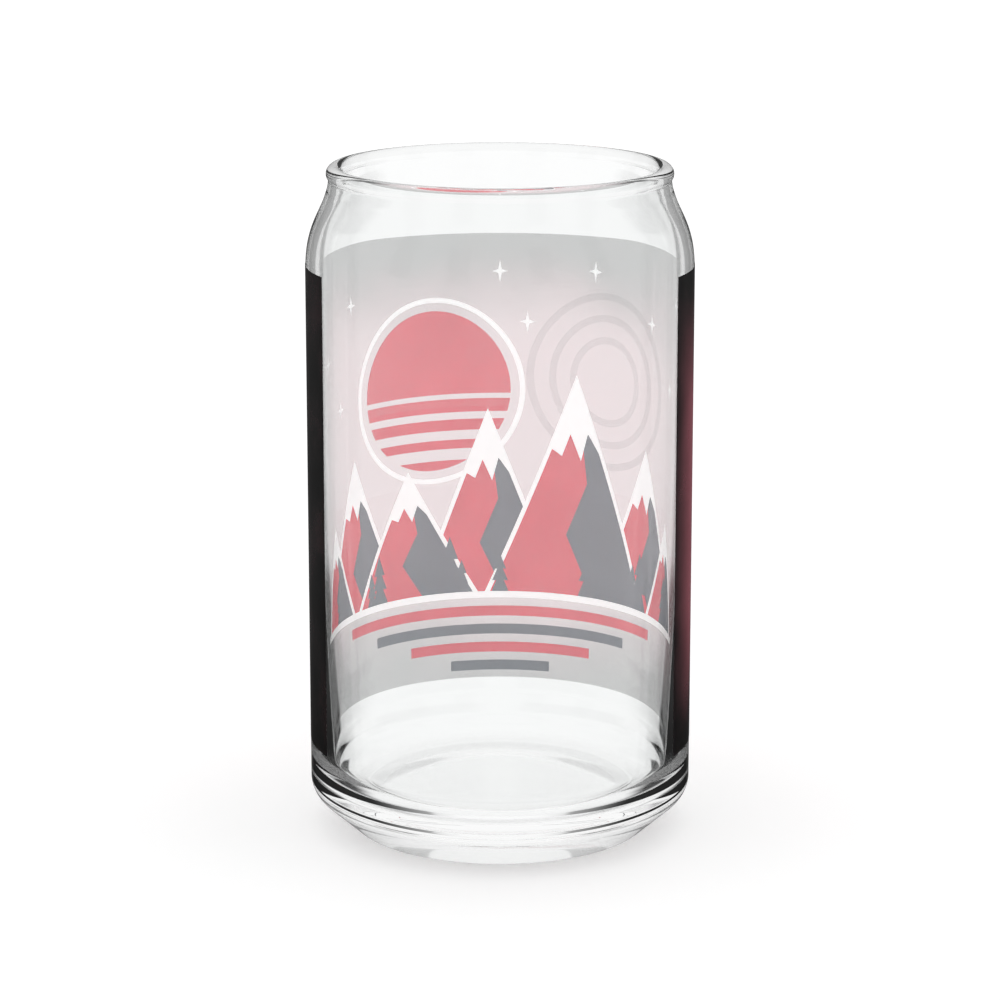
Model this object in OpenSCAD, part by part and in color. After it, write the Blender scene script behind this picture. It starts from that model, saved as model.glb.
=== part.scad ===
// Can shaped drinking glass with a wrap-round print on the outside of its body.
// Origin at the centre of the foot, +Z up, millimetres. The clear window in the print faces -Y.

/* [Glass] */
// Overall height, table to the top of the rim
height = 133.4; // [120:0.1:150]
// Outer diameter of the straight body
body_d = 76.2; // [72:0.1:80]
// Wall thickness of the body at the shoulder
wall = 2.5; // [1.8:0.1:3]
// Extra wall thickness that the body gains by the inner heel
wall_gain = 1.6; // [0.6:0.1:2.4]
// Lean of the inside wall where it meets the inner heel, in degrees
wall_lean = 2.9; // [2:0.1:4]
// Thickness of the floor above the table
floor_h = 9.2; // [7:0.1:11]
// Radius of the inner heel between the floor and the wall
inner_heel_r = 9; // [6:0.1:11]
// Radius of the dome that the inside floor is part of
floor_dome_r = 320; // [200:10:600]

/* [Shoulder and rim] */
// How far the neck at its narrowest stands in from the body
neck_inset = 4.65; // [4:0.05:5.4]
// Radius of the shoulder's outer curve
shoulder_r = 21.3; // [18:0.1:24]
// Steepest lean of the shoulder from the vertical, in degrees
shoulder_angle = 30.2; // [28:0.1:33]
// Height of the neck's narrowest point below the top of the rim
neck_drop = 2; // [1.2:0.1:3]
// Diameter of the rolled bead that makes the rim
bead_d = 3.2; // [2.8:0.1:3.6]
// How far the bead stands out from the neck
rim_proud = 0.45; // [0.2:0.05:0.8]

/* [Foot] */
// How far in from the body the bevel would meet the table if its edge were sharp
foot_inset = 8.9; // [8:0.1:10]
// Radius of the edge between the foot and the bevel
foot_edge_r = 2.1; // [1:0.1:3]
// Angle of the bevel above the table, in degrees
bevel_angle = 41.6; // [38:0.1:46]
// Radius of the heel between the bevel and the body
heel_r = 4.9; // [3:0.1:7]
// Width of the ring that the glass stands on, out to the bevel's sharp edge
ring_w = 5.2; // [4:0.1:7]
// Depth of the hollow under the foot, beside the ring
hollow_h = 0.5; // [0.3:0.1:1.5]
// Width of the slope between the ring and the hollow
hollow_slope = 5; // [3:0.1:7]
// Rise of the hollow from its edge to its middle
hollow_rise = 0.5; // [0.2:0.1:1.2]

/* [Print] */
// Height of the print's lower edge above the table
print_low = 18.3; // [14:0.1:30]
// Distance of the print's upper edge below the start of the shoulder
print_top_gap = 0.1; // [0.1:0.1:10]
// Width of the clear window at the front, in degrees
window_angle = 127; // [90:1:160]
// Thickness of each of the two ink layers
ink_t = 0.15; // [0.08:0.01:0.2]
// Width of the dark ends of the print, in degrees
dark_end_angle = 26; // [10:1:40]
// Height of the dark bands along the upper and lower edges of the print
dark_band_h = 3.2; // [1:0.1:8]

/* [Sun] */
// Diameter of the sun
sun_d = 34; // [20:0.1:40]
// Place of the sun round the glass from the middle of the back, in degrees
sun_at = -23; // [-40:1:40]
// Height of the sun's middle above the print's lower edge
sun_h = 63; // [50:0.1:75]
// Height of the narrowest slit across the sun
sun_slit = 1.1; // [0.6:0.1:1.6]
// Growth of each next slit
sun_slit_step = 0.45; // [0:0.05:0.8]
// Distance between the middles of two slits
sun_slit_pitch = 3.9; // [3:0.1:5]
// Width of the ring round the sun
sun_ring_w = 1; // [0.6:0.1:2]
// Gap between the sun and its ring
sun_ring_gap = 1.8; // [0.8:0.1:3]

/* [Peaks] */
// Width of the widest peak at its foot
peak_w = 38; // [30:0.5:40]
// Height of the tallest peak above the shore
peak_h = 46; // [30:0.5:55]
// Height of the tallest fir tree
fir_h = 13; // [8:0.5:18]
// Height of the shore that the peaks stand on, above the print's lower edge
shore_h = 19; // [10:0.1:25]
// Thickness of the shore line
shore_t = 1.4; // [0.8:0.1:3]
// Half length of the shore line, in degrees
shore_angle = 90; // [70:1:100]
// Width of the pale line round each peak
keyline_w = 0.9; // [0.5:0.1:1.5]
// Part of a peak's height that its snow covers
snow_share = 0.3; // [0.2:0.01:0.4]
// Distance of a peak's ridge foot from its middle, as a part of its width
ridge_share = 0.12; // [0.05:0.01:0.2]

/* [Water and sky] */
// Height of each bar of light on the water
bar_h = 2.2; // [1:0.1:3]
// Distance between the bars
bar_pitch = 4; // [3.2:0.1:5]
// Half length of the longest bar, in degrees
bar_angle = 62; // [40:1:80]
// Shortening of each next bar at both ends, in degrees
bar_step = 15; // [5:1:18]
// Width of a star
star_w = 3.4; // [2:0.1:5]
// Height of the sky that holds the stars, above the print's lower edge
sky_h = 90; // [80:0.5:92]
// Width of each of the faint rings in the sky
halo_w = 1.5; // [0.8:0.1:3]
// Distance between the faint rings
halo_pitch = 4.6; // [3.5:0.1:6]
// Radius of the smallest faint ring
halo_r = 8; // [5:0.1:12]
// Place of the faint rings round the glass, in degrees
halo_at = 38; // [20:1:60]
// Height of the faint rings' middle above the print's lower edge
halo_h = 66; // [50:0.1:75]

/* [Hidden] */
$fn = 96;
ARC_STEPS = 10;
LONG_ARC_STEPS = 6;

body_r = body_d / 2;
bead_r = bead_d / 2;
neck_r = body_r - neck_inset;

// Shoulder: a convex arc, then a concave one, which share one tangent
shoulder_end_r = body_r - shoulder_r * (1 - cos(shoulder_angle));
neck_curve_r = (shoulder_end_r - neck_r) / (1 - cos(shoulder_angle));
neck_z = height - neck_drop;
shoulder_z = neck_z - (neck_curve_r + shoulder_r) * sin(shoulder_angle);
shoulder_centre = [body_r - shoulder_r, shoulder_z];
neck_centre = [neck_r + neck_curve_r, neck_z];
bead_centre = [neck_r + rim_proud - bead_r, height - bead_r];

// Foot: flat ring, rounded edge, bevel, rounded heel
foot_r = body_r - foot_inset;
ring_inner_r = foot_r - ring_w;
hollow_r = ring_inner_r - hollow_slope;
foot_edge_centre = [foot_r - foot_edge_r * tan(bevel_angle / 2), foot_edge_r];
bevel_low = foot_edge_centre + foot_edge_r * [sin(bevel_angle), -cos(bevel_angle)];
bevel_high_r = body_r - heel_r * (1 - sin(bevel_angle));
bevel_high_z = bevel_low.y + (bevel_high_r - bevel_low.x) * tan(bevel_angle);
heel_centre = [body_r - heel_r, bevel_high_z + heel_r * cos(bevel_angle)];

// The hollow is part of a dome, given by its radius at the edge and its rise
hollow_dome_r = (hollow_r * hollow_r + hollow_rise * hollow_rise) / (2 * hollow_rise);
hollow_tilt = asin(hollow_r / hollow_dome_r);

// Inside: domed floor, rounded inner heel, and a wall that leans out on one long arc
inner_heel_wall_r = body_r - wall - wall_gain;
inner_heel_centre_r = inner_heel_wall_r - inner_heel_r * cos(wall_lean);
floor_tilt = asin(inner_heel_centre_r / (floor_dome_r + inner_heel_r));
floor_dome_centre_z = floor_h - floor_dome_r;
inner_heel_centre = [inner_heel_centre_r,
                     floor_dome_centre_z + (floor_dome_r + inner_heel_r) * cos(floor_tilt)];
lean_z = inner_heel_centre.y - inner_heel_r * sin(wall_lean);
lean_r = wall_gain / (1 - cos(wall_lean));
lean_centre = [body_r - wall - lean_r, lean_z + lean_r * sin(wall_lean)];

// Print: two ink layers on the outside of the body
print_high = shoulder_z - print_top_gap;
print_angle = 360 - window_angle;
LAYERS = [[body_r, body_r + ink_t], [body_r + ink_t, body_r + 2 * ink_t]];
BASE = 0;
TOP = 1;
// How far the cutting blocks and prisms run past what they cut
CUT = 2;
// How deep the prisms reach into the body, as a part of its radius
PRISM_SHARE = 0.3;
// How far the peaks and firs reach down behind the shore line
SINK = shore_t / 2;

// Rows of peaks
FRONT = 1;
BACK = 0;
// Each peak: place round the glass, its parts of the largest width and height, and its row
PEAKS = [[-73, 0.44, 0.41, FRONT], [-57, 0.74, 0.67, BACK], [-32, 0.8, 0.57, FRONT],
         [-4, 0.82, 0.83, BACK], [26, 1, 1, FRONT], [57, 0.79, 0.72, BACK], [73.5, 0.44, 0.43, FRONT]];
// Each star: place round the glass, and its height as a part of the sky's
STARS = [[-78, 0.82], [-58, 0.93], [-66, 0.7], [0, 0.97], [9, 0.86],
         [33, 0.98], [60, 0.89], [76, 0.76], [84, 0.96]];
// Each fir tree: place round the glass, and its part of the tallest one's height
FIRS = [[-72, 0.7], [-68, 0.92], [-49, 0.6], [-45, 0.85], [-21, 0.77], [-17, 1], [-13, 0.6],
        [0, 0.7], [31, 0.92], [35, 0.7], [51, 0.77], [55, 1], [74, 0.85], [78, 0.6]];
SUN_SLITS = 4;
HALO_RINGS = 3;
BARS = 4;

// Points of an arc in the plane of the profile
function arc(centre, radius, from, to, steps = ARC_STEPS) =
    [for (i = [0:steps])
        let (a = from + (to - from) * i / steps)
        centre + radius * [cos(a), sin(a)]];

// The upper of the two points, on the side of the first centre's left, where two circles cross
function crossing(c1, r1, c2, r2) =
    let (d = norm(c2 - c1),
         u = (c2 - c1) / d,
         along = (d * d + r1 * r1 - r2 * r2) / (2 * d),
         aside = sqrt(r1 * r1 - along * along))
    c1 + along * u + aside * [-u.y, u.x];

// Angle of a point as seen from a centre
function angle_of(p, centre) = atan2(p.y - centre.y, p.x - centre.x);

crease = crossing(neck_centre, neck_curve_r, bead_centre, bead_r);
inner_neck_r = neck_curve_r + wall;
inner_crease = crossing(neck_centre, inner_neck_r, bead_centre, bead_r);

// Half section of the glass, from the middle of the foot round the outside and back down the inside
function glass_profile() = concat(
    arc([0, hollow_h + hollow_rise - hollow_dome_r], hollow_dome_r, 90, 90 - hollow_tilt, LONG_ARC_STEPS),
    [[ring_inner_r, 0]],
    arc(foot_edge_centre, foot_edge_r, -90, bevel_angle - 90),
    arc(heel_centre, heel_r, bevel_angle - 90, 0),
    arc(shoulder_centre, shoulder_r, 0, shoulder_angle),
    arc(neck_centre, neck_curve_r, 180 + shoulder_angle, angle_of(crease, neck_centre) + 360),
    arc(bead_centre, bead_r, angle_of(crease, bead_centre), angle_of(inner_crease, bead_centre) + 360,
        2 * ARC_STEPS),
    arc(neck_centre, inner_neck_r, angle_of(inner_crease, neck_centre) + 360, 180 + shoulder_angle),
    arc(shoulder_centre, shoulder_r - wall, shoulder_angle, 0),
    arc(lean_centre, lean_r, 0, -wall_lean, LONG_ARC_STEPS),
    arc(inner_heel_centre, inner_heel_r, -wall_lean, -90 - floor_tilt),
    arc([0, floor_dome_centre_z], floor_dome_r, 90 - floor_tilt, 90, LONG_ARC_STEPS));

// Turns what faces the back of the glass to a place round it, clockwise from above
module at(place) {
    rotate([0, 0, -place])
        children();
}

// A block between two radii, two places round the glass and two heights
module sector(inner_r, outer_r, from, to, low, high) {
    at(to)
        rotate([0, 0, 90])
            rotate_extrude(angle = to - from)
                translate([inner_r, low])
                    square([outer_r - inner_r, high - low]);
}

// The whole print in one ink layer
module wrap(layer) {
    sector(LAYERS[layer][0], LAYERS[layer][1], -print_angle / 2, print_angle / 2, print_low, print_high);
}

// A block that cuts right through both layers between two heights above the print's lower edge
module bar(half_angle, low, high) {
    sector(body_r - CUT, body_r + CUT, -half_angle, half_angle, print_low + low, print_low + high);
}

// A flat shape, drawn as seen from the clear window, stood up as a prism out through the wall
module stand(place, up) {
    at(place)
        translate([0, 0, print_low + up])
            rotate([90, 0, 0])
                translate([0, 0, -body_r - CUT])
                    linear_extrude(body_r * PRISM_SHARE + CUT)
                        children();
}

// The part of a flat shape's prism that lies in one ink layer
module field(layer, place, up) {
    intersection() {
        wrap(layer);
        stand(place, up)
            children();
    }
}

module sun_disc() {
    difference() {
        circle(d = sun_d);
        for (i = [0:SUN_SLITS - 1])
            translate([-sun_d / 2, -sun_slit_pitch * (i + 0.5) - sun_slit_step * i])
                square([sun_d, sun_slit + sun_slit_step * i]);
    }
}

// A flat ring with a given inner radius
module ring(inner_r, width) {
    difference() {
        circle(r = inner_r + width);
        circle(r = inner_r);
    }
}

// A star with four points
module star() {
    tip = star_w / 2;
    waist = tip * 0.22;
    polygon([[tip, 0], [waist, waist], [0, tip * 1.3], [-waist, waist],
             [-tip, 0], [-waist, -waist], [0, -tip * 1.3], [waist, -waist]]);
}

// A fir tree of three tiers
module fir(high) {
    half = high * 0.24;
    polygon([[0, high],
             [half * 0.6, high * 0.62], [half * 0.3, high * 0.62],
             [half * 0.8, high * 0.34], [half * 0.4, high * 0.34],
             [half, 0], [-half, 0],
             [-half * 0.4, high * 0.34], [-half * 0.8, high * 0.34],
             [-half * 0.3, high * 0.62], [-half * 0.6, high * 0.62]]);
}

// A peak's triangle, widened by a line on both slopes
module peak_outline(width, high, line = 0) {
    slope = norm([high, width / 2]);
    foot = width / 2 + line * slope / high;
    polygon([[-foot, 0], [foot, 0], [0, high + line * slope / (width / 2)]]);
}

// The snow on a peak, with a toothed lower edge
module peak_snow(width, high) {
    half = width / 2 * snow_share;
    drop = high * snow_share;
    polygon([[0, high],
             [half, high - drop],
             [half * 0.5, high - drop * 0.72],
             [half * 0.2, high - drop * 1.15],
             [-half * 0.25, high - drop * 0.75],
             [-half * 0.6, high - drop * 1.1],
             [-half, high - drop]]);
}

// The shaded side of a peak, right of a ridge that bends on its way down
module peak_shade(width, high) {
    difference() {
        polygon([[0, high],
                 [width / 2, 0],
                 [width * ridge_share, 0],
                 [-width * ridge_share * 0.5, high * 0.3],
                 [width * ridge_share * 0.6, high * 0.55]]);
        peak_snow(width, high);
    }
}

// The lit side of a peak, left of the ridge
module peak_lit(width, high) {
    difference() {
        peak_outline(width, high);
        peak_snow(width, high);
        peak_shade(width, high);
    }
}

// The pale line round a peak, with its snow
module peak_pale(width, high) {
    difference() {
        peak_outline(width, high, keyline_w);
        peak_lit(width, high);
        peak_shade(width, high);
    }
}

// One kind of field of a peak
module peak_field(width, high, kind) {
    if (kind == "pale") peak_pale(width, high);
    if (kind == "lit") peak_lit(width, high);
    if (kind == "shade") peak_shade(width, high);
}

// That field on every peak of one row
module peak_row(layer, row, kind) {
    for (peak = PEAKS)
        if (peak[3] == row)
            field(layer, peak[0], shore_h - SINK)
                peak_field(peak_w * peak[1], peak_h * peak[2], kind);
}

// Prisms over the whole of every peak of one row
module peak_prisms(row) {
    for (peak = PEAKS)
        if (peak[3] == row)
            stand(peak[0], shore_h - SINK)
                peak_outline(peak_w * peak[1], peak_h * peak[2], keyline_w);
}

module fir_prisms() {
    for (tree = FIRS)
        stand(tree[0], shore_h - SINK)
            fir(fir_h * tree[1]);
}

module star_prisms() {
    for (place = STARS)
        stand(place[0], sky_h * place[1])
            star();
}

// Everything on and below the shore
module shore_block() {
    bar(print_angle / 2 + CUT, -CUT, shore_h);
}

// Height above the print's lower edge of a bar of light on the water, counted down from the shore
function bar_low(i) = shore_h - shore_t - (i + 1) * bar_pitch;

// Bars of light on the water, every other one from the first
module bars(first) {
    for (i = [first:2:BARS - 1])
        bar(bar_angle - i * bar_step, bar_low(i), bar_low(i) + bar_h);
}

// What stands in front cuts what lies behind it, one thing after another
module behind_firs() {
    difference() {
        children();
        fir_prisms();
    }
}

module behind_row(row) {
    difference() {
        children();
        peak_prisms(row);
    }
}

module behind_stars() {
    difference() {
        children();
        star_prisms();
    }
}

module behind_sun() {
    difference() {
        children();
        stand(sun_at, sun_h)
            sun_disc();
        stand(sun_at, sun_h)
            ring(sun_d / 2 + sun_ring_gap, sun_ring_w);
    }
}

module above_shore() {
    difference() {
        children();
        shore_block();
    }
}

// A field of both rows of peaks, cut by the firs where they stand in front of it
module peaks(layer, kind) {
    above_shore()
        behind_firs() {
            peak_row(layer, FRONT, kind);
            behind_row(FRONT)
                peak_row(layer, BACK, kind);
        }
}

// What is in the sky, cut by the peaks where they stand in front of it
module sky() {
    behind_row(FRONT)
        behind_row(BACK)
            children();
}

module red_field(layer) {
    peaks(layer, "lit");
    sky()
        field(layer, sun_at, sun_h)
            sun_disc();
    intersection() {
        wrap(layer);
        bars(0);
    }
}

module slate_field(layer) {
    peaks(layer, "shade");
    above_shore()
        for (tree = FIRS)
            field(layer, tree[0], shore_h - SINK)
                fir(fir_h * tree[1]);
    intersection() {
        wrap(layer);
        bars(1);
    }
}

module white_field(layer) {
    peaks(layer, "pale");
    sky()
        field(layer, sun_at, sun_h)
            ring(sun_d / 2 + sun_ring_gap, sun_ring_w);
    for (place = STARS)
        field(layer, place[0], sky_h * place[1])
            star();
    intersection() {
        wrap(layer);
        bar(shore_angle, shore_h - shore_t, shore_h);
    }
}

module halo_field(layer) {
    sky()
        behind_stars()
            behind_sun()
                for (i = [0:HALO_RINGS - 1])
                    field(layer, halo_at, halo_h)
                        ring(halo_r + i * halo_pitch, halo_w);
}

// The ground, cut away where something is drawn on it
module ground() {
    difference() {
        behind_stars()
            behind_sun()
                difference() {
                    behind_firs()
                        sky()
                            children();
                    bar(shore_angle, shore_h - shore_t, shore_h);
                }
        bars(0);
        bars(1);
    }
}

// The lighter middle of the ground, inside its dark ends and bands
module middle() {
    half = print_angle / 2 - dark_end_angle;
    sector(body_r - CUT, body_r + CUT, -half, half, print_low + dark_band_h, print_high - dark_band_h);
}

module glass() {
    color([0.86, 0.90, 0.90, 0.35])
        rotate_extrude()
            polygon(glass_profile());
}

// The inner ink layer is white, and the colours printed over it show through it, pale
module base_ground() {
    color([0.93, 0.87, 0.88])
        difference() {
            ground()
                wrap(BASE);
            for (i = [0:HALO_RINGS - 1])
                stand(halo_at, halo_h)
                    ring(halo_r + i * halo_pitch, halo_w);
        }
}

module base_halo() {
    color([0.82, 0.78, 0.79])
        halo_field(BASE);
}

module base_red() {
    color([0.89, 0.58, 0.62])
        red_field(BASE);
}

module base_slate() {
    color([0.62, 0.62, 0.65])
        slate_field(BASE);
}

module base_white() {
    color([0.97, 0.97, 0.97])
        white_field(BASE);
}

// The outer ink layer holds the full colours
module top_black() {
    color([0.03, 0.02, 0.02])
        ground()
            difference() {
                wrap(TOP);
                middle();
            }
}

module top_rose() {
    color([0.45, 0.10, 0.15])
        ground()
            intersection() {
                wrap(TOP);
                middle();
            }
}

module top_red() {
    color([0.76, 0.08, 0.14])
        red_field(TOP);
}

module top_slate() {
    color([0.13, 0.14, 0.17])
        slate_field(TOP);
}

module top_white() {
    color([0.93, 0.92, 0.92])
        white_field(TOP);
}

glass();
base_ground();
base_halo();
base_red();
base_slate();
base_white();
top_black();
top_rose();
top_red();
top_slate();
top_white();
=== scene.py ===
"""Dresses the can shaped drinking glass: its blown body, the print round its back, and a white studio."""

import math

import bmesh
import bpy
import numpy as np
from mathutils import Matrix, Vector


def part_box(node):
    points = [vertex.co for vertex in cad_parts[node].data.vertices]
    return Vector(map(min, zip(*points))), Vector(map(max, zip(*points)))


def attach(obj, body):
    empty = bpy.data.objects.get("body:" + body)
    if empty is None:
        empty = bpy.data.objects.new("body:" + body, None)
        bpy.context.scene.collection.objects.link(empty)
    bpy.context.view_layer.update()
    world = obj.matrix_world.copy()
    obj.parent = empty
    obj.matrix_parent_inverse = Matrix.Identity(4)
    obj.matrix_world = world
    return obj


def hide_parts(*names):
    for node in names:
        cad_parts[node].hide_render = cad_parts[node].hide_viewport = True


bl_info = {
    "name": "Can Shaped Drinking Glass",
    "version": (1, 0, 0),
    "blender": (4, 5, 0),
    "location": "View3D > Sidebar > Glass",
    "description": "Blown glass with a rolled rim and a bevelled foot, and a print in two ink layers",
    "category": "Object",
}

MM = 0.001
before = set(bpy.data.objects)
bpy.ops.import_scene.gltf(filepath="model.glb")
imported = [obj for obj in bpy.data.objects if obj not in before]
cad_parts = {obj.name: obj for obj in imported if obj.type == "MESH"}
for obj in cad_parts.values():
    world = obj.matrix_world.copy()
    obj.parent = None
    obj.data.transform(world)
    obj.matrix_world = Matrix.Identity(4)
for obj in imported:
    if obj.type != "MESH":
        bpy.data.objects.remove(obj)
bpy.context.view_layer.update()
BODY_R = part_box("glass")[1].x
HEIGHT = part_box("glass")[1].z
PRINT_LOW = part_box("base_ground")[0].z
PRINT_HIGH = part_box("base_ground")[1].z
WELD = 0.005 * MM
SAME_POINT = 0.0001 * MM
SAME_TURN = 1e-4
FACE_DEPTH = 0.001
FLAT_ENOUGH = math.radians(0.05)
ARC_STEPS = {
    "dome": 16,
    "foot edge": 12,
    "heel": 16,
    "shoulder": 30,
    "neck": 24,
    "bead": 60,
    "lean": 24,
    "inner heel": 30,
}
# A path's depths are whole numbers: above ONCE it has met one surface of that kind, above TWICE two.
ONCE, TWICE = 0.5, 1.5


# ---- Properties ----


def length(name, description, mm):
    """A length property, given in millimetres."""
    return bpy.props.FloatProperty(
        name=name, description=description, default=mm * MM, subtype="DISTANCE", unit="LENGTH", precision=5
    )


def angle(name, description, degrees):
    """An angle property, given in degrees."""
    return bpy.props.FloatProperty(
        name=name, description=description, default=math.radians(degrees), subtype="ANGLE", unit="ROTATION"
    )


def share(name, description, value):
    """A plain number property."""
    return bpy.props.FloatProperty(name=name, description=description, default=value, precision=3)


def linear(channel):
    """The linear light of one colour channel, given from 0 to 255 as a screen shows it."""
    value = channel / 255
    return value / 12.92 if value <= 0.04045 else ((value + 0.055) / 1.055) ** 2.4


def paint(name, description, red, green, blue):
    """A colour property, given as a screen shows it."""
    return bpy.props.FloatVectorProperty(
        name=name,
        description=description,
        default=[linear(channel) for channel in (red, green, blue)],
        subtype="COLOR",
        size=3,
    )


class GlassSizes(bpy.types.PropertyGroup):
    """Section of the blown glass, from the foot up the outside and back down the inside."""

    wall: length("Wall", "Wall thickness of the body at the shoulder", 2.5)
    wall_gain: length("Wall gain", "Extra wall thickness that the body gains by the inner heel", 1.6)
    wall_lean: angle("Wall lean", "Lean of the inside wall where it meets the inner heel", 2.9)
    floor_h: length("Floor", "Thickness of the floor above the table", 9.2)
    inner_heel_r: length("Inner heel", "Radius between the floor and the wall", 9.0)
    floor_dome_r: length("Floor dome", "Radius of the dome that the inside floor is part of", 320.0)
    neck_inset: length("Neck inset", "How far the neck stands in from the body", 4.65)
    shoulder_r: length("Shoulder", "Radius of the shoulder's outer curve", 21.3)
    shoulder_angle: angle("Shoulder lean", "Steepest lean of the shoulder", 30.2)
    shoulder_fill: length(
        "Shoulder fill", "How much larger a radius the shoulder has inside than its wall asks for", 1.5
    )
    neck_drop: length("Neck drop", "Height of the neck's narrowest point below the rim", 2.0)
    bead_d: length("Bead", "Diameter of the rolled bead that makes the rim", 3.2)
    rim_proud: length("Rim proud", "How far the bead stands out from the neck", 0.45)
    foot_inset: length("Foot inset", "How far in from the body the bevel would meet the table", 8.9)
    foot_edge_r: length("Foot edge", "Radius between the foot and the bevel", 2.1)
    bevel_angle: angle("Bevel", "Angle of the bevel above the table", 41.6)
    heel_r: length("Heel", "Radius between the bevel and the body", 4.9)
    ring_w: length("Ring", "Width of the ring that the glass stands on", 5.2)
    hollow_h: length("Hollow", "Depth of the hollow under the foot, beside the ring", 0.5)
    hollow_slope: length("Hollow slope", "Width of the slope between the ring and the hollow", 5.0)
    hollow_rise: length("Hollow rise", "Rise of the hollow from its edge to its middle", 0.5)
    soft_reach: length("Softening", "How far fire polishing rounds each side of a crease", 0.45)
    shoulder_ease: length(
        "Shoulder easing", "How far each side of a point the shoulder's curves even out", 2.5
    )
    ease_low: length("Easing height", "Height above which the curves even out, up to the bead", 90.0)
    segments: bpy.props.IntProperty(
        name="Segments", description="Faces round the glass", default=240, min=24
    )


class PrintSizes(bpy.types.PropertyGroup):
    """The print's reach round the glass, and how its ink layers lie on the glass."""

    half_angle: angle("Half angle", "Reach of the print from the middle of the back to each end", 116.5)
    step: angle("Step", "Widest face of the print, round the glass", 1.5)
    row_h: length("Row", "Tallest face of the print's ground", 4.0)
    key_depth: length("Key depth", "How deep the ground keys into the glass", 0.015)
    stand_out: length("Stand out", "How far the ground stands out from the glass", 0.035)
    motif_lap: length("Motif lap", "How far the motifs pass the ground on both faces", 0.005)


class InkColours(bpy.types.PropertyGroup):
    """Colours of the print, outside and as they show through the white layer inside, the inside ones also
    brightened as painted light for the dim light within the glass; how solid the ink looks from inside; and
    the strength of a painted glow that stands in for light from behind.
    """

    black: paint("Black", "Ends and edges of the ground", 14, 11, 12)
    rose: paint("Rose", "Glow in the middle of the ground", 176, 92, 106)
    red: paint("Red", "Sun, lit slopes and every other bar", 196, 40, 52)
    slate: paint("Slate", "Shaded slopes, firs and the other bars", 52, 56, 64)
    white: paint("White", "Snow, lines and stars", 236, 233, 232)
    # Painted light: the inside colours are lighter than the outside ones, partly as the white layer shows
    # them and partly brightened to make up for the dim light inside the glass.
    inner_rose_painted_light: paint(
        "Inner rose", "Middle of the ground, as the white layer shows it inside", 228, 116, 140
    )
    inner_red_painted_light: paint("Inner red", "Red, as the white layer shows it inside", 250, 70, 92)
    inner_slate_painted_light: paint("Inner slate", "Slate, as the white layer shows it inside", 96, 104, 116)
    inner_white_painted_light: paint("Inner white", "White, as the white layer shows it inside", 255, 255, 255)
    edge_solid: share("Edge solidity", "How solid the ground's dark edges look from inside", 0.42)
    glow_solid: share("Glow solidity", "How solid the ground's glow looks from inside", 0.27)
    halo_solid: share("Halo solidity", "How solid the faint rings look from inside", 0.12)
    motif_solid: share("Motif solidity", "How solid the motifs look from inside", 0.8)
    # Painted light: the next two set how strongly the inside ink glows in its own colour, an emission that
    # stands in for light through it from behind.
    behind: share(
        "Light from behind", "How much of its colour the ink shows inside by light from behind it", 0.4
    )
    white_painted_glow: share("Light behind white", "The same for the white ink, which hides least light", 0.7)


class StudioLook(bpy.types.PropertyGroup):
    """Camera, floor and light."""

    camera_back: length("Camera distance", "Distance of the camera in front of the glass's axis", 698.3)
    camera_up: length("Camera height", "Height of the camera above the floor", 230.6)
    camera_pitch: share("Camera pitch", "Downward pitch of the camera, in radians", 0.2311)
    camera_lens: share("Lens", "Focal length in millimetres, on a 36 mm sensor", 129.9)
    floor_half: length("Floor", "Half the width of the floor", 6000.0)
    floor_albedo: share("Floor albedo", "How much light the floor sends back", 0.8)
    near_r: length("Near floor", "Reach of the floor that shows a little through the glass", 30.0)
    far_r: length(
        "Far floor", "Where the floor has given way to the studio, as seen through the glass", 45.0
    )
    near_open: share("Near floor opening", "How far the near floor gives way to the studio", 0.8)
    floor_lift: share("Floor lift", "Brightness of the unshaded floor, where 1 is white", 1.10)
    level: share("Level", "Plain level of the studio's light", 1.0)
    panel_half: angle("Panel", "Half width of the four wide white panels round the studio", 18.0)
    corner_half: angle("Corner panel", "Half width of the four narrow panels between the wide ones", 11.0)
    panel_soft: angle("Panel edge", "Width of a panel's soft edge", 3.0)
    gap_level: share("Gap", "Level of the gaps between the panels", 0.02)
    gap_top: angle("Gap top", "Elevation at which the gaps end and the white ceiling starts", 28.0)
    gap_foot: angle("Gap foot", "Angle below the horizon at which the gaps end", 30.0)
    gap_soft: angle("Gap end", "Height of a gap's soft upper and lower ends", 10.0)
    gloss_level: share("Gloss level", "Level of the studio in reflections", 0.1)
    low_top: angle(
        "Low part", "Angle below the horizon where narrow panels end and wide ones turn grey beside", 16.0
    )
    low_soft: angle("Low part's edge", "Height of the soft change to the low part", 2.0)
    low_plain: angle("Low plain part", "Half width of the white middle of a wide panel's low part", 10.0)
    low_grey: share("Low grey", "Level of a wide panel's low part beside its white middle", 0.5)
    once_level: share(
        "Gap, mirrored once", "Level of the gaps above the low part for paths mirrored once", 0.6
    )
    foot_shift: angle("Gap foot, mirrored", "How much lower the gaps end for mirrored paths", 8.0)
    deep_half: angle("Deep panel", "Half width of a wide panel's white for paths mirrored more often", 5.0)
    deep_end: angle("Deep panel's end", "Where a wide panel has darkened fully for such paths", 26.0)
    calm_from: angle(
        "Calm side", "Way round from the far side from which mirrored paths see plain white", 100.0
    )


GROUPS = (GlassSizes, PrintSizes, InkColours, StudioLook)


def settings(group):
    """The scene's values of one property group."""
    return getattr(bpy.context.scene, group.__name__)


# ---- Section of the glass ----


def arc(centre, radius, start, end, steps):
    """Points of an arc in the plane of the section, between two angles in radians."""
    return [
        (centre[0] + radius * math.cos(turn), centre[1] + radius * math.sin(turn))
        for turn in np.linspace(start, end, steps + 1)
    ]


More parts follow.
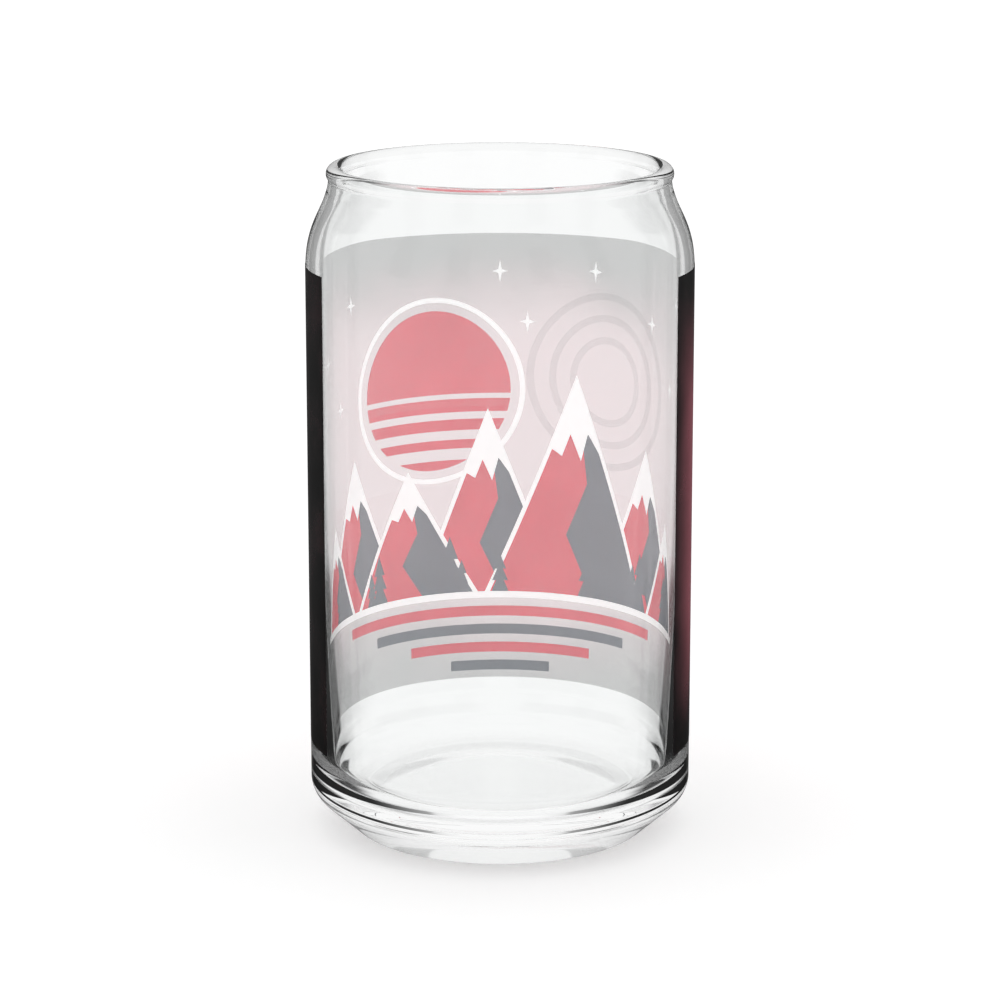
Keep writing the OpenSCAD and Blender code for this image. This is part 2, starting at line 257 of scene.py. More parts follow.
def crossing(first, first_r, second, second_r):
    """The point, on the left of the line between two centres, where their circles cross."""
    apart = np.subtract(second, first)
    distance = math.hypot(*apart)
    along_x, along_y = apart / distance
    along = (distance**2 + first_r**2 - second_r**2) / (2 * distance)
    aside = math.sqrt(first_r**2 - along**2)
    return first[0] + along * along_x - aside * along_y, first[1] + along * along_y + aside * along_x


def bearing(point, centre):
    """Angle of a point as seen from a centre."""
    return math.atan2(point[1] - centre[1], point[0] - centre[0])


def glass_section(s):
    """Half section of the glass, in metres, with the rows close together on its curves."""
    full = 2 * math.pi
    bead_r = s.bead_d / 2
    neck_r = BODY_R - s.neck_inset
    shoulder_end_r = BODY_R - s.shoulder_r * (1 - math.cos(s.shoulder_angle))
    neck_curve_r = (shoulder_end_r - neck_r) / (1 - math.cos(s.shoulder_angle))
    neck_z = HEIGHT - s.neck_drop
    shoulder = (BODY_R - s.shoulder_r, neck_z - (neck_curve_r + s.shoulder_r) * math.sin(s.shoulder_angle))
    neck = (neck_r + neck_curve_r, neck_z)
    bead = (neck_r + s.rim_proud - bead_r, HEIGHT - bead_r)

    foot_r = BODY_R - s.foot_inset
    ring_inner_r = foot_r - s.ring_w
    hollow_r = ring_inner_r - s.hollow_slope
    hollow_dome_r = (hollow_r**2 + s.hollow_rise**2) / (2 * s.hollow_rise)
    hollow = (0, s.hollow_h + s.hollow_rise - hollow_dome_r)
    foot_edge = (foot_r - s.foot_edge_r * math.tan(s.bevel_angle / 2), s.foot_edge_r)
    bevel_low = (
        foot_edge[0] + s.foot_edge_r * math.sin(s.bevel_angle),
        foot_edge[1] - s.foot_edge_r * math.cos(s.bevel_angle),
    )
    bevel_high_r = BODY_R - s.heel_r * (1 - math.sin(s.bevel_angle))
    bevel_high_z = bevel_low[1] + (bevel_high_r - bevel_low[0]) * math.tan(s.bevel_angle)
    heel = (BODY_R - s.heel_r, bevel_high_z + s.heel_r * math.cos(s.bevel_angle))

    inner_heel_x = BODY_R - s.wall - s.wall_gain - s.inner_heel_r * math.cos(s.wall_lean)
    floor_tilt = math.asin(inner_heel_x / (s.floor_dome_r + s.inner_heel_r))
    dome = (0, s.floor_h - s.floor_dome_r)
    inner_heel = (inner_heel_x, dome[1] + (s.floor_dome_r + s.inner_heel_r) * math.cos(floor_tilt))
    lean_r = s.wall_gain / (1 - math.cos(s.wall_lean))
    lean_low = inner_heel[1] - s.inner_heel_r * math.sin(s.wall_lean)
    lean = (BODY_R - s.wall - lean_r, lean_low + lean_r * math.sin(s.wall_lean))

    quarter = math.pi / 2
    inner_neck_r = neck_curve_r + s.wall - s.shoulder_fill
    inner_neck = (neck[0] - s.shoulder_fill, neck_z)
    inner_shoulder_r = s.shoulder_r - s.wall + s.shoulder_fill
    inner_shoulder = (shoulder[0] - s.shoulder_fill, shoulder[1])
    crease = crossing(neck, neck_curve_r, bead, bead_r)
    inner_crease = crossing(inner_neck, inner_neck_r, bead, bead_r)
    hollow_end = quarter - math.asin(hollow_r / hollow_dome_r)
    neck_low = math.pi + s.shoulder_angle
    bead_end, inner_neck_high = bearing(inner_crease, bead) + full, bearing(inner_crease, inner_neck) + full
    points = (
        arc(hollow, hollow_dome_r, quarter, hollow_end, ARC_STEPS["dome"])
        + [(ring_inner_r, 0)]
        + arc(foot_edge, s.foot_edge_r, -quarter, s.bevel_angle - quarter, ARC_STEPS["foot edge"])
        + arc(heel, s.heel_r, s.bevel_angle - quarter, 0, ARC_STEPS["heel"])
        + arc(shoulder, s.shoulder_r, 0, s.shoulder_angle, ARC_STEPS["shoulder"])
        + arc(neck, neck_curve_r, neck_low, bearing(crease, neck) + full, ARC_STEPS["neck"])[1:]
        + arc(bead, bead_r, bearing(crease, bead), bead_end, ARC_STEPS["bead"])
        + arc(inner_neck, inner_neck_r, inner_neck_high, neck_low, ARC_STEPS["neck"])
        + arc(inner_shoulder, inner_shoulder_r, s.shoulder_angle, 0, ARC_STEPS["shoulder"])[1:]
        + arc(lean, lean_r, 0, -s.wall_lean, ARC_STEPS["lean"])
        + arc(inner_heel, s.inner_heel_r, -s.wall_lean, -quarter - floor_tilt, ARC_STEPS["inner heel"])[1:]
        + arc(dome, s.floor_dome_r, quarter - floor_tilt, quarter, ARC_STEPS["dome"])[1:]
    )
    return softened(points, s.soft_reach, s.shoulder_ease, (s.ease_low, HEIGHT - s.bead_d))


def softened(points, reach, ease, heights, sharp=math.radians(9), steps=6, samples=9):
    """The section with each crease rounded over a short reach, and its curves between two heights evened."""
    line = [np.array(points[0], float)]
    for point in points[1:]:
        if np.hypot(*(np.array(point) - line[-1])) > SAME_POINT:
            line.append(np.array(point, float))
    line = np.array(line)
    travel = np.concatenate([[0], np.cumsum(np.hypot(*np.diff(line, axis=0).T))])
    heading = np.unwrap(np.arctan2(*np.diff(line, axis=0).T[::-1]))
    corners = [i + 1 for i in range(len(heading) - 1) if abs(heading[i + 1] - heading[i]) > sharp]

    def on_line(distance):
        return np.array([np.interp(distance, travel, line[:, 0]), np.interp(distance, travel, line[:, 1])])

    def eased(i):
        room = min(abs(travel[i] - travel[c]) for c in corners) - reach
        half = min(ease, room) if heights[0] < line[i][1] < heights[1] else 0
        return np.mean([on_line(travel[i] + way) for way in np.linspace(-half, half, samples)], axis=0)

    kept = [
        (travel[i], eased(i))
        for i in range(len(line))
        if all(abs(travel[i] - travel[c]) > reach for c in corners)
    ]
    for corner in corners:
        before, after = on_line(travel[corner] - reach), on_line(travel[corner] + reach)
        for t in np.linspace(0, 1, steps + 1):
            curve = (1 - t) ** 2 * before + 2 * t * (1 - t) * line[corner] + t**2 * after
            kept.append((travel[corner] + (2 * t - 1) * reach, curve))
    return [point for _, point in sorted(kept, key=lambda entry: entry[0])]


# ---- Meshes ----


def new_piece(name, mesh, node_names):
    """Puts a finished mesh into the scene as a piece that stands for CAD nodes."""
    piece = bpy.data.objects.new(name, mesh)
    bpy.context.scene.collection.objects.link(piece)
    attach(piece, "root")
    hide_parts(*node_names)
    return piece


def revolved(name, section, segments):
    """A closed mesh of revolution from a section that starts and ends on the axis."""
    turns = np.linspace(0, 2 * math.pi, segments, endpoint=False)
    rows = section[1:-1]
    points = [(0, 0, section[0][1])]
    for radius, z in rows:
        points += [(radius * math.cos(turn), radius * math.sin(turn), z) for turn in turns]
    points.append((0, 0, section[-1][1]))
    last = len(points) - 1
    faces = []
    for j in range(segments):
        k = (j + 1) % segments
        faces.append((0, 1 + k, 1 + j))
        faces.append((last, last - segments + j, last - segments + k))
        for i in range(len(rows) - 1):
            low, high = 1 + i * segments, 1 + (i + 1) * segments
            faces.append((low + j, low + k, high + k, high + j))
    mesh = bpy.data.meshes.new(name)
    mesh.from_pydata(points, [], faces)
    mesh.shade_smooth()
    return mesh


def print_steps(p):
    """Places round the glass, in radians from the middle of the back, where the print's faces meet."""
    count = int(p.half_angle / p.step)
    inside = [i * p.step for i in range(-count, count + 1)]
    inside = [turn for turn in inside if abs(turn) < p.half_angle - SAME_TURN]
    return [-p.half_angle] + inside + [p.half_angle]


def rolled_up(flat, inner_r, outer_r):
    """The point on the glass for a flat one: way round in radians, depth from 0 to 1, height."""
    turn, depth, z = flat
    radius = inner_r + depth * (outer_r - inner_r)
    return Vector((radius * math.sin(turn), radius * math.cos(turn), z))


def layer_mesh(name, flat_mesh, inner_r, outer_r):
    """Rolls a flat closed mesh up round the glass, with true normals and a material for each face."""
    mesh = bpy.data.meshes.new(name)
    bmesh.ops.triangulate(flat_mesh, faces=[f for f in flat_mesh.faces if len(f.verts) > 4])
    flat_mesh.to_mesh(mesh)
    flat_mesh.free()
    depths = [v.co.y for v in mesh.vertices]
    turns = [v.co.x for v in mesh.vertices]
    for vertex in mesh.vertices:
        vertex.co = rolled_up(vertex.co, inner_r, outer_r)
    mesh.update()
    mesh.shade_smooth()
    normals = []
    for face in mesh.polygons:
        depth = sum(depths[v] for v in face.vertices) / len(face.vertices)
        out = 1 if depth > 1 - FACE_DEPTH else -1 if depth < FACE_DEPTH else 0
        face.material_index = 1 if out < 0 else 0
        for v in face.vertices:
            radial = Vector((math.sin(turns[v]), math.cos(turns[v]), 0))
            normals.append(radial * out if out else face.normal.copy())
    mesh.normals_split_custom_set(normals)
    return mesh


def close_skin(flat):
    """Gives a flat sheet at depth 0, facing the glass, a second side at depth 1, and closes its edges."""
    corners = [edge.link_loops[0] for edge in flat.edges if edge.is_boundary]
    rim = [(corner.vert, corner.link_loop_next.vert) for corner in corners]
    second = bmesh.ops.duplicate(flat, geom=flat.verts[:] + flat.edges[:] + flat.faces[:])
    twin = second["vert_map"]
    for part in second["geom"]:
        if isinstance(part, bmesh.types.BMVert):
            part.co.y = 1
        elif isinstance(part, bmesh.types.BMFace):
            part.normal_flip()
    for start, end in rim:
        flat.faces.new((end, start, twin[start], twin[end]))


def ground_mesh(name, p, inner_r, outer_r):
    """The print's whole ground as one thin closed skin."""
    turns = print_steps(p)
    count = max(1, round((PRINT_HIGH - PRINT_LOW) / p.row_h))
    heights = np.linspace(PRINT_LOW, PRINT_HIGH, count + 1)
    flat = bmesh.new()
    grid = [[flat.verts.new((turn, 0, z)) for z in heights] for turn in turns]
    for left, right in zip(grid, grid[1:]):
        for j in range(count):
            flat.faces.new((left[j], right[j], right[j + 1], left[j + 1]))
    close_skin(flat)
    return layer_mesh(name, flat, inner_r, outer_r)


def motif_mesh(name, node_name, p, inner_r, outer_r):
    """The inner face of a CAD node of the print, laid flat, cut into narrow faces, closed and rolled up."""
    flat = bmesh.new()
    flat.from_mesh(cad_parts[node_name].data)
    radii = [math.hypot(v.co.x, v.co.y) for v in flat.verts]
    middle = (min(radii) + max(radii)) / 2
    outside = [vertex for vertex, radius in zip(flat.verts, radii) if radius > middle]
    bmesh.ops.delete(flat, geom=outside, context="VERTS")
    for vertex in flat.verts:
        vertex.co = (math.atan2(vertex.co.x, vertex.co.y) * BODY_R, 0, vertex.co.z)
    bmesh.ops.remove_doubles(flat, verts=flat.verts, dist=WELD)
    bmesh.ops.dissolve_degenerate(flat, dist=WELD, edges=flat.edges)
    bmesh.ops.dissolve_limit(flat, angle_limit=FLAT_ENOUGH, verts=flat.verts, edges=flat.edges)
    reach = [min(v.co.x for v in flat.verts), max(v.co.x for v in flat.verts)]
    for cut in (turn * BODY_R for turn in print_steps(p)[1:-1]):
        if reach[0] < cut < reach[1]:
            everything = flat.verts[:] + flat.edges[:] + flat.faces[:]
            bmesh.ops.bisect_plane(
                flat, geom=everything, dist=WELD, plane_co=(cut, 0, 0), plane_no=(1, 0, 0)
            )
    for vertex in flat.verts:
        vertex.co.x /= BODY_R
    close_skin(flat)
    return layer_mesh(name, flat, inner_r, outer_r)


# ---- Node building ----


def add(tree, kind, inputs=None, **attributes):
    """Adds a node, sets its attributes, and fills or links its inputs."""
    made = tree.nodes.new(kind)
    for key, value in attributes.items():
        setattr(made, key, value)
    for key, value in (inputs or {}).items():
        socket = made.inputs[key]
        if isinstance(value, bpy.types.NodeSocket):
            tree.links.new(value, socket)
        else:
            socket.default_value = value
    return made


def maths(tree, operation, first, second=0.0, clamp=False):
    """The output of one Math node."""
    made = add(tree, "ShaderNodeMath", {0: first, 1: second}, operation=operation, use_clamp=clamp)
    return made.outputs[0]


def ramp(tree, value, low, high, to_low=0.0, to_high=1.0):
    """A value mapped smoothly from one range to another, and held at its ends."""
    inputs = {"Value": value, "From Min": low, "From Max": high, "To Min": to_low, "To Max": to_high}
    return add(tree, "ShaderNodeMapRange", inputs, interpolation_type="SMOOTHSTEP").outputs["Result"]


def blended(tree, factor, first, second):
    """A colour between two colours."""
    made = add(tree, "ShaderNodeMix", data_type="RGBA")
    for index, value in ((0, factor), (6, first), (7, second)):
        if isinstance(value, bpy.types.NodeSocket):
            tree.links.new(value, made.inputs[index])
        else:
            made.inputs[index].default_value = value if index == 0 else (*value, 1)
    return made.outputs[2]


def place_round(tree):
    """Way round the glass from the middle of the back, in radians, and height, at the shaded point."""
    place = add(tree, "ShaderNodeTexCoord").outputs["Object"]
    parts = add(tree, "ShaderNodeSeparateXYZ", {0: place}).outputs
    return place, maths(tree, "ARCTAN2", parts["X"], parts["Y"]), parts["Z"]


def new_group(name, inputs, outputs):
    """An empty shader node group, with its input and output nodes."""
    group = bpy.data.node_groups.new(name, "ShaderNodeTree")
    for label, value in inputs:
        socket = group.interface.new_socket(label, in_out="INPUT", socket_type="NodeSocketFloat")
        socket.default_value = value
    for label in outputs:
        group.interface.new_socket(label, in_out="OUTPUT", socket_type="NodeSocketFloat")
    return group, add(group, "NodeGroupInput").outputs, add(group, "NodeGroupOutput").inputs


def ground_fade_group():
    """Fade of the ground from its glowing middle to its dark ends and its dark upper and lower edges."""
    group, given, put_out = new_group(
        "ground_fade",
        (
            ("Centre", 0.24),
            ("Glow Start", 1.35),
            ("Glow End", 1.85),
            ("Edge Height", 0.030),
        ),
        ("Dark",),
    )
    place, turn, z = place_round(group)
    aside = maths(group, "ABSOLUTE", maths(group, "SUBTRACT", turn, given["Centre"]))
    ends = ramp(group, aside, given["Glow Start"], given["Glow End"])
    wander = add(group, "ShaderNodeTexNoise", {"Vector": place, "Scale": 28.0, "Detail": 2.0}).outputs["Fac"]
    wander_reach = 0.02
    shift = maths(group, "MULTIPLY", maths(group, "SUBTRACT", wander, 0.5), wander_reach)
    z = maths(group, "ADD", z, shift)
    above = maths(group, "SUBTRACT", z, PRINT_LOW)
    below = maths(group, "SUBTRACT", PRINT_HIGH, z)
    nearest = maths(group, "MINIMUM", above, below)
    edges = ramp(group, nearest, 0.0, given["Edge Height"], 1.0, 0.0)
    lit = maths(group, "MULTIPLY", maths(group, "SUBTRACT", 1.0, ends), maths(group, "SUBTRACT", 1.0, edges))
    group.links.new(maths(group, "SUBTRACT", 1.0, lit), put_out["Dark"])
    return group


def ink_grain_group():
    """Small unevenness of printed ink: mottling, a fine dot grain and an orange peel."""
    group, given, put_out = new_group(
        "ink_grain",
        (
            ("Mottle Scale", 90.0),
            ("Dot Scale", 2600.0),
            ("Roughness", 0.3),
        ),
        ("Mottle", "Roughness", "Height"),
    )
    cloud_share, dot_share, rough_spread = 0.65, 0.35, 0.25
    place = place_round(group)[0]
    noise = {"Vector": place, "Scale": given["Mottle Scale"], "Detail": 4.0}
    cloud = add(group, "ShaderNodeTexNoise", noise).outputs["Fac"]
    noise = {"Vector": place, "Scale": given["Dot Scale"], "Detail": 1.0}
    dots = add(group, "ShaderNodeTexNoise", noise).outputs["Fac"]
    clouded = maths(group, "MULTIPLY", cloud, cloud_share)
    dotted = maths(group, "MULTIPLY", dots, dot_share)
    group.links.new(maths(group, "ADD", clouded, dotted), put_out["Mottle"])
    spread = maths(group, "MULTIPLY", maths(group, "SUBTRACT", cloud, 0.5), rough_spread)
    group.links.new(maths(group, "ADD", given["Roughness"], spread, clamp=True), put_out["Roughness"])
    group.links.new(dots, put_out["Height"])
    return group


# ---- Materials ----


def new_material(name):
    """An empty node material with its Principled BSDF."""
    material = bpy.data.materials.new(name)
    material.use_nodes = True
    tree = material.node_tree
    return material, tree, next(n for n in tree.nodes if n.type == "BSDF_PRINCIPLED")


def clear_glass():
    """Clear blown glass, faintly wavy and smeared, which lets a path out after two mirrorings in it."""
    material, tree, shader = new_material("clear_glass")
    place = add(tree, "ShaderNodeTexCoord").outputs["Object"]
    waves = add(tree, "ShaderNodeTexNoise", {"Vector": place, "Scale": 45.0, "Detail": 1.0}).outputs["Fac"]
    bump = add(tree, "ShaderNodeBump", {"Height": waves, "Strength": 0.02, "Distance": 0.001})
    smears = add(tree, "ShaderNodeTexNoise", {"Vector": place, "Scale": 30.0, "Detail": 3.0}).outputs["Fac"]
    for key, value in {
        "Base Color": (0.985, 0.992, 0.99, 1),
        "Metallic": 0.0,
        "IOR": 1.5,
        "Transmission Weight": 1.0,
    }.items():
        shader.inputs[key].default_value = value
    mirrorings = add(tree, "ShaderNodeLightPath").outputs["Glossy Depth"]
    tree.links.new(maths(tree, "LESS_THAN", mirrorings, TWICE), shader.inputs["Alpha"])
    smear_start, smear_end, smear_rough = 0.6, 0.8, 0.012
    rough = ramp(tree, smears, smear_start, smear_end, 0.0, smear_rough)
    tree.links.new(rough, shader.inputs["Roughness"])
    tree.links.new(bump.outputs["Normal"], shader.inputs["Normal"])
    return material


def ink(name, grain, roughness, colour_of, solid_of, behind=0.0):
    """Printed ink: colour_of and solid_of give its colour and solidity, and behind the strength of a painted
    glow, an emission of its own colour that stands in for light from behind.
    """
    material, tree, shader = new_material(name)
    grained = add(tree, "ShaderNodeGroup", node_tree=grain)
    grained.inputs["Roughness"].default_value = roughness
    mottle_low, mottle_high = 0.35, 0.65
    mottle = ramp(tree, grained.outputs["Mottle"], mottle_low, mottle_high)
    bump = add(tree, "ShaderNodeBump", {"Height": grained.outputs["Height"], "Strength": 0.08})
    bump.inputs["Distance"].default_value = 0.05 * MM
    colour = colour_of(tree, mottle)
    tree.links.new(colour, shader.inputs["Base Color"])
    # Painted light: the ink glows in its own colour, standing in for light through it from behind and for
    # the dim light inside the glass.
    if behind:
        tree.links.new(colour, shader.inputs["Emission Color"])
        shader.inputs["Emission Strength"].default_value = behind
        material.cycles.emission_sampling = "NONE"
    tree.links.new(solid_of(tree), shader.inputs["Alpha"])
    tree.links.new(grained.outputs["Roughness"], shader.inputs["Roughness"])
    tree.links.new(bump.outputs["Normal"], shader.inputs["Normal"])
    return material


def even(colour, depth=0.1):
    """One colour, darker by some depth where the ink lies thick."""
    dark = [channel * (1 - depth) for channel in colour]
    return lambda tree, mottle: blended(tree, mottle, colour, dark)


def fading(fade, glow, dark):
    """A ground's colour, from its glow to its dark edges, with a little mottling."""
    mottle_share = 0.06

    def mixed(tree, mottle):
        edge = add(tree, "ShaderNodeGroup", node_tree=fade).outputs["Dark"]
        soft = maths(tree, "MULTIPLY", maths(tree, "SUBTRACT", mottle, 0.5), mottle_share)
        return blended(tree, maths(tree, "ADD", edge, soft, clamp=True), glow, dark)

    return mixed


def from_outside(tree):
    """Solid from outside, and open from inside, where the print's inner face has already been met."""
    return maths(tree, "SUBTRACT", 1.0, add(tree, "ShaderNodeNewGeometry").outputs["Backfacing"])


def see_through(low, high, fade=None):
    """Solidity of ink that shows light from behind, between two values, by the ground's fade if given."""

    def solid(tree):
        if fade is None:
            place = add(tree, "ShaderNodeTexCoord").outputs["Object"]
            value = add(tree, "ShaderNodeTexNoise", {"Vector": place, "Scale": 120.0}).outputs["Fac"]
        else:
            value = add(tree, "ShaderNodeGroup", node_tree=fade).outputs["Dark"]
        mirrorings = add(tree, "ShaderNodeLightPath").outputs["Glossy Depth"]
        unmirrored = maths(tree, "LESS_THAN", mirrorings, ONCE)
        return maths(tree, "MULTIPLY", ramp(tree, value, 0.0, 1.0, low, high), unmirrored)

    return solid


# ---- Operators ----


class BuildGlassBody(bpy.types.Operator):
    """Builds the clear glass body from its section"""

    bl_idname = "can_glass.build_body"
    bl_label = "Glass body"

    def execute(self, context):
        s = settings(GlassSizes)
        mesh = revolved("glass_body", glass_section(s), s.segments)
        piece = new_piece("glass_body", mesh, ["glass"])
        piece.data.materials.append(clear_glass())
        return {"FINISHED"}


class BuildPrint(bpy.types.Operator):
    """Builds both ink layers of the print: their grounds and their motifs"""

    bl_idname = "can_glass.build_print"
    bl_label = "Print"

    def execute(self, context):
        p, c = settings(PrintSizes), settings(InkColours)
        fade, grain = ground_fade_group(), ink_grain_group()
        ground = (BODY_R - p.key_depth, BODY_R + p.stand_out)
        motif = (ground[0] - p.motif_lap, ground[1] + p.motif_lap)
        inside = (motif[0], ground[0] + p.motif_lap)
        faded, inner_faded = fading(fade, c.rose, c.black), fading(fade, c.inner_rose_painted_light, c.black)
        ground_solid = see_through(c.glow_solid, c.edge_solid, fade)
        halo_thin, motif_thin = 0.9, 0.95
        halo_solid = see_through(c.halo_solid * halo_thin, c.halo_solid)
        motif_solid = see_through(c.motif_solid * motif_thin, c.motif_solid)
        red, inner_red_painted_light, slate, inner_slate_painted_light = map(even, (c.red, c.inner_red_painted_light, c.slate, c.inner_slate_painted_light))
        white, inner_white_painted_light = even(c.white, depth=0.04), even(c.inner_white_painted_light, depth=0.02)
        # Each field: its CAD nodes and slot, radii, colours outside and inside (the inside ones brightened
        # as painted light), solidity, and the strength of a painted glow that stands in for light from
        # behind.
        fields = {
            "ground": (
                ["base_ground", "top_rose", "top_black"],
                "ink_rose",
                (ground, faded, inner_faded, ground_solid, c.behind),
            ),
            "halo": (["base_halo"], "ink_pale_halo", (inside, slate, slate, halo_solid, c.behind)),
            "red": (["base_red", "top_red"], "ink_red", (motif, red, inner_red_painted_light, motif_solid, c.behind)),
            "slate": (
                ["base_slate", "top_slate"],
                "ink_slate",
                (motif, slate, inner_slate_painted_light, motif_solid, c.behind),
            ),
            "white": (
                ["base_white", "top_white"],
                "ink_white",
                (motif, white, inner_white_painted_light, motif_solid, c.white_painted_glow),
            ),
        }
        outside_rough, inside_rough = 0.3, 0.45
        for name, (nodes, slot_name, look) in fields.items():
            radii, colour, inner_colour, solid, behind = look
            label = "print_" + name
            if name == "ground":
                mesh = ground_mesh(label, p, *radii)
            else:
                mesh = motif_mesh(label, nodes[0], p, *radii)
            piece = new_piece(label, mesh, nodes)
            outside = ink(name + "_ink_outside", grain, outside_rough, colour, from_outside)
            piece.data.materials.append(outside)
            inner = ink(name + "_ink_inside_painted_glow", grain, inside_rough, inner_colour, solid, behind)
            piece.data.materials.append(inner)
        return {"FINISHED"}


class BuildStudio(bpy.types.Operator):
    """Builds the floor, the studio's light and the camera"""

    bl_idname = "can_glass.build_studio"
    bl_label = "Studio"

    def execute(self, context):
        look = settings(StudioLook)
        self.floor(look)
        self.light(context, look)
        self.camera(context, look)
        context.scene.view_settings.view_transform = "Standard"
        return {"FINISHED"}

    def floor(self, look):
        """A wide pale floor, which gives way to the studio in what the glass shows of it further off."""
        half = look.floor_half
        mesh = bpy.data.meshes.new("floor")
        corners = [(-half, -half, 0), (half, -half, 0), (half, half, 0), (-half, half, 0)]
        mesh.from_pydata(corners, [], [(0, 1, 2, 3)])
        piece = bpy.data.objects.new("floor", mesh)
        bpy.context.scene.collection.objects.link(piece)
        material = bpy.data.materials.new("pale_floor")
        material.use_nodes = True
        tree = material.node_tree
        tree.nodes.clear()
        albedo = look.floor_albedo
        path = add(tree, "ShaderNodeLightPath").outputs
        plain = add(tree, "ShaderNodeBsdfDiffuse", {"Color": (albedo, albedo, albedo, 1)}).outputs[0]
        seen = maths(tree, "MAXIMUM", path["Is Camera Ray"], path["Is Transmission Ray"])
        seen = maths(tree, "MAXIMUM", seen, path["Is Glossy Ray"])
        first = maths(tree, "LESS_THAN", path["Diffuse Depth"], ONCE)
        extra = look.floor_lift - albedo * look.level
        lift = maths(tree, "MULTIPLY", maths(tree, "MULTIPLY", seen, first), extra)
        glow = add(tree, "ShaderNodeEmission", {"Color": (1, 1, 1, 1), "Strength": lift}).outputs[0]
        shown = add(tree, "ShaderNodeAddShader", {0: plain, 1: glow}).outputs[0]
        place = add(tree, "ShaderNodeTexCoord").outputs["Object"]
        away = add(tree, "ShaderNodeVectorMath", {0: place}, operation="LENGTH").outputs["Value"]
        off = ramp(tree, away, look.near_r, look.far_r, look.near_open, 1.0)
        bent = maths(tree, "SUBTRACT", 1.0, path["Is Camera Ray"])
        open_part = maths(tree, "MULTIPLY", maths(tree, "MULTIPLY", off, bent), first)
        clear = add(tree, "ShaderNodeBsdfTransparent").outputs[0]
        mixed = add(tree, "ShaderNodeMixShader", {0: open_part, 1: shown, 2: clear}).outputs[0]
        add(tree, "ShaderNodeOutputMaterial", {"Surface": mixed})
        mesh.materials.append(material)

    def light(self, context, look):
        """Even white light, with panels round the studio that the glass shows as bright fields."""
        world = bpy.data.worlds.new("studio")
        context.scene.world = world
        world.use_nodes = True
        world.cycles.sampling_method = "NONE"
        tree = world.node_tree
        tree.nodes.clear()
        path = add(tree, "ShaderNodeLightPath").outputs
        heading = add(tree, "ShaderNodeTexCoord").outputs["Generated"]
        parts = add(tree, "ShaderNodeSeparateXYZ", {0: heading}).outputs
        turn = maths(tree, "ARCTAN2", parts["X"], parts["Y"])
        quarter = math.pi / 2
        nearest = maths(tree, "ROUND", maths(tree, "DIVIDE", turn, quarter))
        nearest = maths(tree, "MULTIPLY", nearest, quarter)
        aside = maths(tree, "ABSOLUTE", maths(tree, "SUBTRACT", turn, nearest))
        corner = maths(tree, "ABSOLUTE", maths(tree, "SUBTRACT", aside, quarter / 2))
        elevation = maths(tree, "ARCSINE", parts["Z"])
        depression = maths(tree, "MULTIPLY", elevation, -1.0)
        met_mirror = maths(tree, "GREATER_THAN", path["Glossy Depth"], ONCE)
        deep = maths(tree, "GREATER_THAN", path["Glossy Depth"], TWICE)
        wide_start = ramp(tree, deep, 0.0, 1.0, look.panel_half, look.deep_half)
        wide_end = ramp(tree, deep, 0.0, 1.0, look.panel_half + look.panel_soft, look.deep_end)
        low = ramp(tree, depression, look.low_top, look.low_top + look.low_soft)
        low = maths(tree, "MAXIMUM", maths(tree, "MULTIPLY", low, met_mirror), deep)
        beside = ramp(tree, aside, look.low_plain, look.low_plain + look.panel_soft)
        wide_level = ramp(tree, maths(tree, "MULTIPLY", low, beside), 0.0, 1.0, 1.0, look.low_grey)
        narrow_level = ramp(tree, low, 0.0, 1.0, 1.0, look.gap_level)
        foot = maths(tree, "SUBTRACT", depression, maths(tree, "MULTIPLY", met_mirror, look.foot_shift))
        pattern = look.gap_level
        for value, start, end, inside, outside in (
            (aside, wide_start, wide_end, wide_level, look.gap_level),
            (corner, look.corner_half, look.corner_half + look.panel_soft, narrow_level, look.gap_level),
            (elevation, look.gap_top, look.gap_top + look.gap_soft, 0.0, 1.0),
            (foot, look.gap_foot, look.gap_foot + look.gap_soft, 0.0, 1.0),
        ):
            pattern = maths(tree, "MAXIMUM", pattern, ramp(tree, value, start, end, inside, outside))
        calm = maths(tree, "GREATER_THAN", maths(tree, "ABSOLUTE", turn), look.calm_from)
        below = maths(tree, "GREATER_THAN", depression, 0.0)
        high = maths(tree, "MULTIPLY", maths(tree, "SUBTRACT", 1.0, low), look.once_level)
        calm = maths(tree, "MAXIMUM", maths(tree, "MULTIPLY", calm, below), high)
        pattern = maths(tree, "MAXIMUM", pattern, maths(tree, "MULTIPLY", calm, met_mirror))
        gloss = maths(tree, "MULTIPLY", pattern, look.gloss_level)
        first = maths(tree, "LESS_THAN", path["Diffuse Depth"], ONCE)
        mirrored = maths(tree, "MULTIPLY", path["Is Glossy Ray"], first)
        through = maths(tree, "GREATER_THAN", path["Transmission Depth"], ONCE)
        through = maths(tree, "MULTIPLY", through, first)
        level = add(tree, "ShaderNodeMix", {0: mirrored, 2: look.level, 3: gloss}).outputs[0]
        level = add(tree, "ShaderNodeMix", {0: through, 2: level, 3: pattern}).outputs[0]
        level = add(tree, "ShaderNodeMix", {0: path["Is Camera Ray"], 2: level, 3: 1.0}).outputs[0]
        back = add(tree, "ShaderNodeBackground", {"Color": (1, 1, 1, 1), "Strength": level}).outputs[0]
        add(tree, "ShaderNodeOutputWorld", {"Surface": back})

    def camera(self, context, look):
        """The camera, a little above the glass and looking slightly down."""
        data = bpy.data.cameras.new("camera")
        data.lens = look.camera_lens
        data.sensor_width = 36
        camera = bpy.data.objects.new("camera", data)
        camera.location = (0, -look.camera_back, look.camera_up)
        camera.rotation_euler = (math.pi / 2 - look.camera_pitch, 0, 0)
        context.scene.collection.objects.link(camera)
        context.scene.camera = camera


OPERATORS = (BuildGlassBody, BuildPrint, BuildStudio)


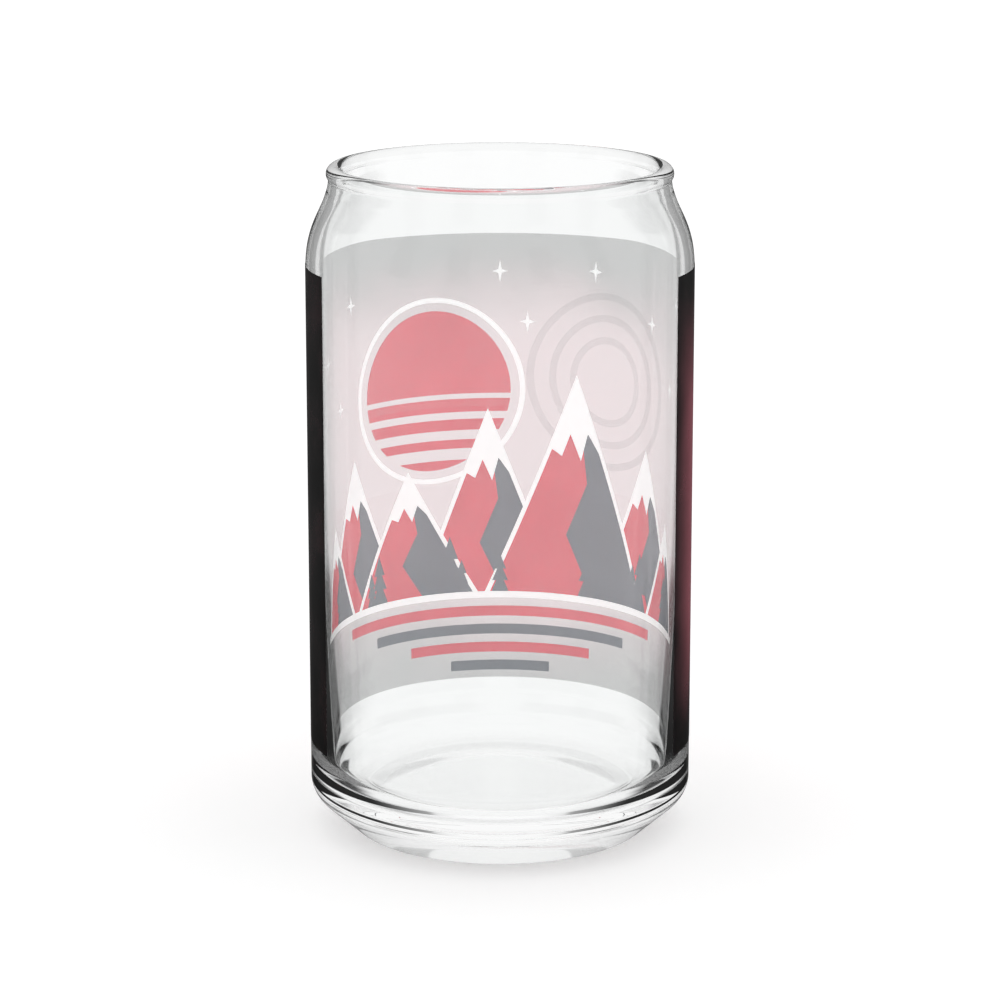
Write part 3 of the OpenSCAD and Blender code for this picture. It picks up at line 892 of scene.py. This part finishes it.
class GlassPanel(bpy.types.Panel):
    """Lists the steps that build the glass and its studio."""

    bl_idname = "VIEW3D_PT_can_glass"
    bl_label = "Can shaped glass"
    bl_space_type = "VIEW_3D"
    bl_region_type = "UI"
    bl_category = "Glass"

    def draw(self, context):
        for operator in OPERATORS:
            self.layout.operator(operator.bl_idname)


CLASSES = (*GROUPS, *OPERATORS, GlassPanel)


def register():
    """Registers every class and gives the scene its property groups."""
    for cls in CLASSES:
        bpy.utils.register_class(cls)
    for group in GROUPS:
        setattr(bpy.types.Scene, group.__name__, bpy.props.PointerProperty(type=group))


def unregister():
    """Takes everything that register added away again."""
    for group in GROUPS:
        delattr(bpy.types.Scene, group.__name__)
    for cls in reversed(CLASSES):
        bpy.utils.unregister_class(cls)


def main():
    """Registers every class and builds everything in order."""
    register()
    for operator in OPERATORS:
        family, name = operator.bl_idname.split(".")
        getattr(getattr(bpy.ops, family), name)()


if __name__ == "__main__":
    main()
